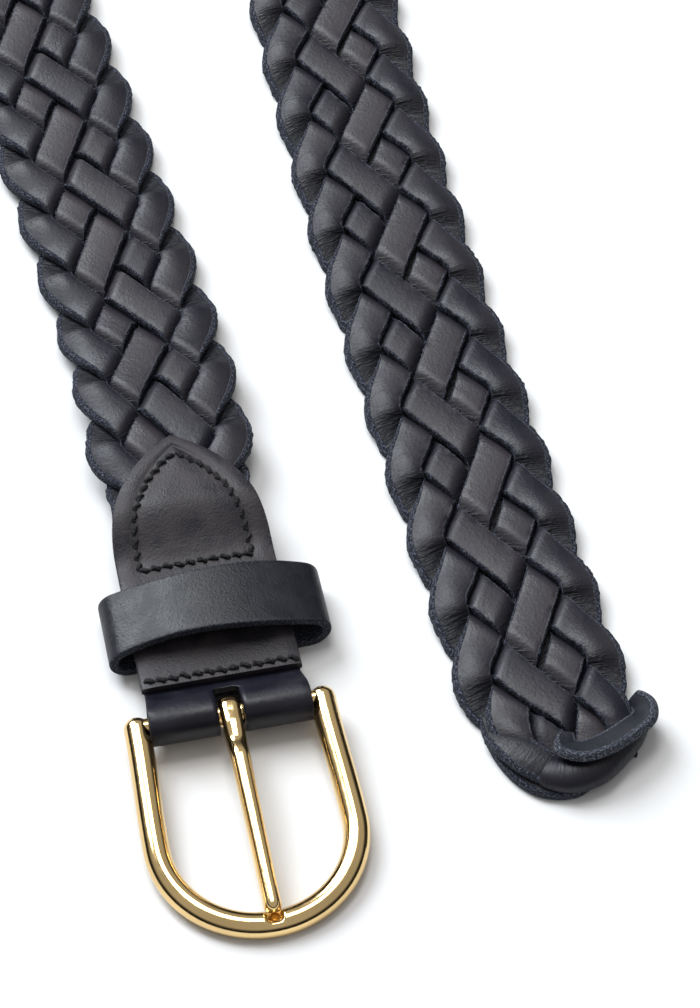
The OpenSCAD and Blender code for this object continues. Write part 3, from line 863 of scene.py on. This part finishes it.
def evenly(points, step):
    """Resamples a path of x, y at equal steps."""
    points = np.asarray(points, float)
    walked = np.concatenate([[0], np.cumsum(np.hypot(*np.diff(points, axis=0).T))])
    at = np.linspace(0, walked[-1], max(2, round(walked[-1] / step)) + 1)
    return np.column_stack([np.interp(at, walked, points[:, k]) for k in range(2)]), at


def stitched(name, outline_points, height, up=1):
    """A rope along x, y points; height gives the leather's surface under it."""
    path, at = evenly(outline_points, 0.3 * mm)
    direction = np.gradient(path, axis=0)
    direction /= np.hypot(*direction.T)[:, None]
    side = np.column_stack([-direction[:, 1], direction[:, 0], np.zeros(len(path))])
    phase = at / at[-1] * max(1, round(at[-1] / stitch_len)) * math.pi
    sunk = np.abs(np.sin(phase)) ** 0.45
    wander = rng.normal(0, 0.14 * mm, len(at) // 6 + 2)
    wander = np.interp(at, np.linspace(0, at[-1], len(wander)), wander) + 0.28 * mm * np.sin(2 * phase)
    lift = (sunk - 0.72) * thread_r * 1.5
    centres = np.column_stack([path, height(path) + up * lift]) + side * wander[:, None]
    radius = thread_r * (0.62 + 0.42 * sunk)
    twist = 1 + 0.16 * np.cos(2 * angles[None, :] - 2 * math.pi * at[:, None] / twist_len)
    reach = (radius[:, None] * twist)[:, :, None]
    place = centres[:, None, :] + reach * (
        round_shape_v[None, :, None] * side[:, None, :]
        + round_shape_z[None, :, None] * np.array([0, 0, up])[None, None, :]
    )
    made = skin(name, len(at), len(angles), from_bar(place), at, angles, material=thread)
    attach(made, "buckle_end")
    return made


def tab_surface(path):
    """Height of the tab's skin at places measured from the bar."""
    flat_points = np.column_stack([path, front_z(path[:, 1]) + ply_t + tab_t])
    return dish(flat_points)[:, 2]


def back_surface(path):
    return np.full(len(path), back_z)


row_y, fold_row_y = 40.6 * mm, 10.9 * mm
foot_x = tab_half_w - inset
sweep = np.linspace(0, math.acos((arch_r - tab_half_w) / (arch_r - inset)), 40)
row_r = arch_r - inset
right_side = np.column_stack([
    row_r * np.cos(sweep) - (arch_r - tab_half_w), arch_start + row_r * np.sin(sweep)
])
arch_path = np.concatenate([[[foot_x, row_y]], right_side, right_side[::-1] * [-1, 1], [[-foot_x, row_y]]])
bottom_path = [[-foot_x - 0.4 * mm, row_y], [foot_x + 0.4 * mm, row_y]]
fold_path = [[-tab_half_w + 0.6 * mm, fold_row_y], [tab_half_w - 0.2 * mm, fold_row_y]]
for where, surface, up in (("front", tab_surface, 1), ("back", back_surface, -1)):
    for part, points in (("arch", arch_path), ("bottom", bottom_path)):
        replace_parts(stitched(f"{part}_stitches_{where}", points, surface, up), "arch_stitching")
    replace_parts(stitched(f"fold_stitches_{where}", fold_path, surface, up), "fold_stitching")
print("stitches in the arch", len(evenly(arch_path, stitch_len)[1]) - 1)

# %% [markdown]
# ## Buckle
# The frame is one brass rod, domed on top and flat below, bent into a horseshoe round the bar's two
# ends. The prong is flattened from the same brass and hooked over the bar. Polished metal shows every
# facet, so the rings are close together and the ends close in a real dome.

# %% Frame
frame_half_w, frame_reach, rod_w, rod_h = 23.5 * mm, 53 * mm, 5.1 * mm, 4.4 * mm
bow_r = frame_half_w - rod_w / 2
side_len = frame_reach - frame_half_w
tilt = math.asin((bar_z - rod_h / 2) / (frame_reach - rod_w / 2))
past_bar, ends_narrowing = 2.6 * mm, 0.042
dome_from = past_bar - rod_w / 2


def domed_rod(half_w, half_h):
    """A rod's section: a tall dome on a flat foot with rounded corners."""
    below = 0.62
    over = np.linspace(-below, math.pi + below, 26)
    foot = [-half_h, -half_h]
    v = np.concatenate([[0, half_w * 0.5], half_w * np.cos(over), [-half_w * 0.5, 0]])
    z = np.concatenate([foot, half_h * (1.12 * np.sin(over) - 0.12), foot])
    return v, z, np.linspace(-1, 1, len(v))


def tilted(place):
    """Turns places from the frame's own plane to its slope on the table."""
    x, y, z = np.moveaxis(place, -1, 0)
    return np.stack([
        x, y * math.cos(tilt) - z * math.sin(tilt), bar_z + y * math.sin(tilt) + z * math.cos(tilt)
    ], axis=-1)


dome_y = dome_from + rod_w / 2 * np.cos(np.linspace(0, half_pi, 12))
leg_y_at = np.concatenate([dome_y[:-1], np.linspace(dome_from, -side_len, 40)[:-1]])
bow_turn = np.linspace(0, -math.pi, 150)
bow_line = np.concatenate([
    np.column_stack([np.full(len(leg_y_at), bow_r), leg_y_at]),
    np.column_stack([bow_r * np.cos(bow_turn), -side_len + bow_r * np.sin(bow_turn)]),
    np.column_stack([np.full(len(leg_y_at), -bow_r), leg_y_at])[::-1],
])
bow_line[:, 0] *= 1 - ends_narrowing * smooth(1 + bow_line[:, 1] / side_len)
frame_centres = np.column_stack([bow_line, np.zeros(len(bow_line))])
along = np.gradient(bow_line, axis=0)
along /= np.hypot(*along.T)[:, None]
frame_sideways = np.column_stack([-along[:, 1], along[:, 0], np.zeros(len(along))])
in_dome = np.clip(bow_line[:, 1] - dome_from, 0, None) / (rod_w / 2)
end_scale = np.sqrt(np.clip(1 - in_dome**2, 0.0004, 1))
rod_shape = domed_rod(rod_w / 2 + 0.3 * mm, rod_h / 2 + 0.15 * mm)
notch_half_w, notch_flat, notch_floor, notch_slope = 4.6 * mm, 0.7 * mm, 1.1 * mm, 1.05


def frame_shape(place):
    """Closes the ends in domes, cuts the prong's rest into the bow, and tilts the frame."""
    x, y, z = np.moveaxis(place, -1, 0).copy()
    z = z * end_scale[:, None]
    inner = smooth((y + frame_reach - 1.6 * mm) / (0.9 * mm)) * (y < -side_len)
    rest = notch_floor + notch_slope * np.clip(np.abs(x) - notch_flat, 0, None)
    z = z + (np.minimum(z, rest) - z) * inner * (np.abs(x) < notch_half_w)
    return tilted(np.stack([x, y, z], axis=-1))


frame_rod = band(
    "frame_rod", frame_centres, frame_sideways, (0, 0, 1), rod_shape,
    widths=end_scale, material=brass, warp=frame_shape,
)
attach(frame_rod, "buckle")
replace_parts(frame_rod, "buckle_frame")

# %% Bar
bar_half_len, bar_r = bow_r + 0.6 * mm, 2 * mm
bar_x = np.linspace(-bar_half_len, bar_half_len, 24)
bar_rod = band(
    "bar_rod", np.column_stack([bar_x, np.zeros(24), np.full(24, bar_z)]), (0, 1, 0), (0, 0, 1),
    (bar_r * round_shape_v, bar_r * round_shape_z, angles), material=brass,
)
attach(bar_rod, "buckle")
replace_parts(bar_rod, "buckle_bar")

# %% Prong
prong_half_w, prong_reach, prong_tip_len = 2.25 * mm, 49.3 * mm, 2.2 * mm
eye_mid_r, eye_t, shank_t = 2.95 * mm, 1.5 * mm, 3.1 * mm
hook = np.radians(np.linspace(-120, 84, 44))
shank_y = -np.concatenate([
    np.linspace(0.9 * mm, 12 * mm, 34), np.linspace(12 * mm, prong_reach - prong_tip_len, 70)[1:],
    prong_reach - prong_tip_len * (1 - np.sin(np.linspace(0, half_pi, 10)))[1:],
])
shank_low = 1.75 * mm + shank_t / 2
shank_z = shank_low + (eye_mid_r - shank_low) * (1 - smooth((-shank_y - 0.5 * mm) / (8 * mm)))
shank_z -= 0.95 * mm * bump(-shank_y, 3.2 * mm, 12.5 * mm)
prong_y = np.concatenate([eye_mid_r * np.cos(hook), shank_y])
prong_z = np.concatenate([eye_mid_r * np.sin(hook), shank_z])
prong_centres, prong_normals = side_view(prong_y, prong_z, upward=-1)
thick = np.concatenate([
    np.linspace(0.6, 1, 12), np.ones(len(hook) - 12),
    1 + (shank_t / eye_t - 1) * smooth(-shank_y / (13 * mm)),
])
tip_left = np.clip((prong_y + prong_reach) / prong_tip_len, 0, 1)
tip_round = np.sqrt(np.clip(1 - (1 - tip_left) ** 2, 0.002, 1))
prong_wide = np.concatenate([np.ones(len(hook)), 1 - 0.12 * smooth(-shank_y / prong_reach)]) * tip_round
over = np.linspace(-0.5, math.pi + 0.5, 16)
prong_v = np.concatenate([[0], prong_half_w * np.sign(np.cos(over)) * np.abs(np.cos(over)) ** 0.75, [0]])
prong_h = np.concatenate([[-eye_t / 2], eye_t * (0.95 * np.sin(over) - 0.42), [-eye_t / 2]])
prong_h = np.clip(prong_h, -eye_t / 2, eye_t / 2)
prong_section = (prong_v, prong_h, np.linspace(-1, 1, len(prong_v)))


def prong_shape(place):
    """Thickens the shank, rounds its tip and lays the prong on the frame's slope."""
    middle = prong_centres[:, None, :]
    growth = thick * np.sqrt(tip_round)
    grown = middle + (place - middle) * np.stack([np.ones(len(thick)), growth, growth], axis=-1)[:, None, :]
    return tilted(grown)


prong = band(
    "prong_bar", prong_centres, (1, 0, 0), prong_normals, prong_section,
    widths=prong_wide, material=brass, warp=prong_shape,
)
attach(prong, "prong")
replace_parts(prong, "prong")
print("frame tilt", round(math.degrees(tilt), 2), "degrees")

# %% [markdown]
# ## The tip
# At the tip the strands' ends are folded back and gathered. One smooth strand wraps round the end,
# a small fold and a raw rim lie beside it, and the last cut end lies across them as a curled strip
# with its pale raw edge up. These are bands too, carried along smooth curves through a few points.

# %% Smooth curves and bands at the tip
past_strands = 3
tip_x, tip_y = (float(v[0]) for v in pose_at([strap_end])[:2])


def smooth_curve(points, count):
    """A Catmull-Rom curve through points, as count places."""
    points = np.asarray(points, float)
    padded = np.vstack([2 * points[0] - points[1], points, 2 * points[-1] - points[-2]])
    at = np.linspace(0, len(points) - 1 - 1e-9, count)
    k, f = at.astype(int), (at % 1)[:, None]
    a, b, c, d = (padded[k + i] for i in range(4))
    return 0.5 * (2 * b + (c - a) * f + (2 * a - 5 * b + 4 * c - d) * f**2 + (3 * b - a - 3 * c + d) * f**3)


def spread(values, count):
    """Takes a few values, evenly spaced along a band, to count places."""
    return np.interp(np.linspace(0, 1, count), np.linspace(0, 1, len(values)), values)


def tip_band(label, points, slopes, shape, widths, crown=0.0, thick=(1, 1), count=90, warp=None,
             material=strand_leather, fray=0.5):
    """A band at the tip; points in mm from the strap's end, slopes say how far it leans down sideways."""
    centres = smooth_curve(points, count) * mm
    lean_down = spread(slopes, count)
    along = np.gradient(centres, axis=0)
    along /= np.linalg.norm(along, axis=1)[:, None]
    level_side = np.column_stack([-along[:, 1], along[:, 0], np.zeros(count)])
    level_side /= np.linalg.norm(level_side, axis=1)[:, None]
    sideways = level_side * np.cos(lean_down)[:, None] - np.array([0, 0, 1]) * np.sin(lean_down)[:, None]
    outward = np.cross(along, sideways)
    wide = spread(widths, count)
    v_at, z_at, measure = shape
    z_rows = z_at[None, :] * spread(thick, count)[:, None]
    across = v_at / np.abs(v_at).max()
    z_rows = z_rows + crown * (1 - across**2) * (z_at > 0)
    place = (
        centres[:, None, :] + (wide[:, None] * v_at)[:, :, None] * sideways[:, None, :]
        + z_rows[:, :, None] * outward[:, None, :]
    )
    if warp:
        place = warp(place, np.linspace(0, 1, count)[:, None], across[None, :])
    place = place + np.array([tip_x, tip_y, 0])
    place[..., 2] = np.maximum(place[..., 2], off_table)
    walked = np.concatenate([[0], np.cumsum(np.linalg.norm(np.diff(centres, axis=0), axis=1))])
    whole = np.ones((count, len(v_at)))
    # Every tip piece gets the same light creases with painted shade, and a dark tone.
    fields = {"crease_and_shade": 0.35 * whole, "tone_and_light": 0.15 * whole, "fray": fray * whole}
    made = skin(label, count, len(v_at), place, walked + past_strands, measure, fields, material)
    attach(made, "tip_end")
    return made


# %% Wrap, small fold and raw rim
roll = np.linspace(-half_pi, 3 * half_pi, 29)
roll_shape = (4.3 * mm * np.cos(roll), 3.1 * mm * np.sin(roll), np.linspace(-0.8, 0.8, len(roll)))
flat_shape = section(4.0 * mm, 1.1 * mm, 0.5 * mm, across=9)


def stretched(place, along, across):
    """Fine lines of stretch along the right part of the wrap."""
    lines_at = 0.10 * mm * np.sin(across * 22 + 3 * np.sin(along * 5)) * bump(along, 0.35, 1.05)
    return place + lines_at[..., None] * np.array([0, -0.6, 0.8])


wrap = tip_band(
    "tip_wrap",
    [(-7.5, 5.5, 2.3), (-5, 2.2, 3.0), (-0.5, 0.3, 3.4), (4.8, 1.0, 3.6), (9.8, 3.8, 3.4), (14.5, 7.2, 3.1),
     (18.6, 10.6, 2.6)],
    [0, 0], roll_shape, [0.45, 0.9, 1.0, 1.0, 0.9, 0.75, 0.4],
    thick=[0.5, 0.9, 1.05, 1.1, 1, 0.85, 0.5], warp=stretched,
)
small_fold = tip_band(
    "tip_small_fold", [(-12.5, 15, 1.8), (-11, 10.5, 3.6), (-8.4, 6, 4.2), (-5.2, 2.6, 3.6), (-2, -0.2, 2.2)],
    [0.15, -0.1, -0.25], flat_shape, [0.95, 1.0, 1.0, 0.9, 0.7], crown=0.8 * mm,
)
rim = tip_band(
    "tip_rim",
    [(-13.2, 27, 1.6), (-12.6, 18, 1.3), (-11.4, 10, 1.3), (-8.6, 4, 1.3), (-4.4, 0.4, 1.3),
     (0.5, -0.4, 1.3), (6, 2.4, 1.8)],
    [0.0, 0.0], flat_shape, [0.5, 0.85, 0.9, 0.95, 0.8, 0.5], crown=0.2 * mm, count=120,
)
for piece in (wrap, small_fold, rim):
    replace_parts(piece, "tucked_ends")

# %% Curled strip
curled = tip_band(
    "tip_curled_strip",
    [(0.2, 8.2, 6.6), (-0.6, 4.9, 7.2), (2.2, 3.0, 7.5), (6.2, 3.2, 7.5), (10.2, 4.6, 7.2), (14, 6.6, 6.7),
     (17.4, 8.8, 6.0), (18.8, 12.0, 5.2), (17.8, 15.4, 4.2)],
    [0.1, 0.45, 0.5, 0.45, 0.5, 0.6, 0.8, 0.9], section(3.3 * mm, 1.0 * mm, 0.45 * mm, across=9),
    [0.5, 0.9, 1.0, 1.0, 1.0, 1.05, 1.1, 0.9, 0.7], crown=0.25 * mm, count=110,
    material=pale_cut_leather, fray=0.9,
)
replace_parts(curled, "rolled_end")
print("tip pieces", [piece.name for piece in (wrap, small_fold, rim, curled)])
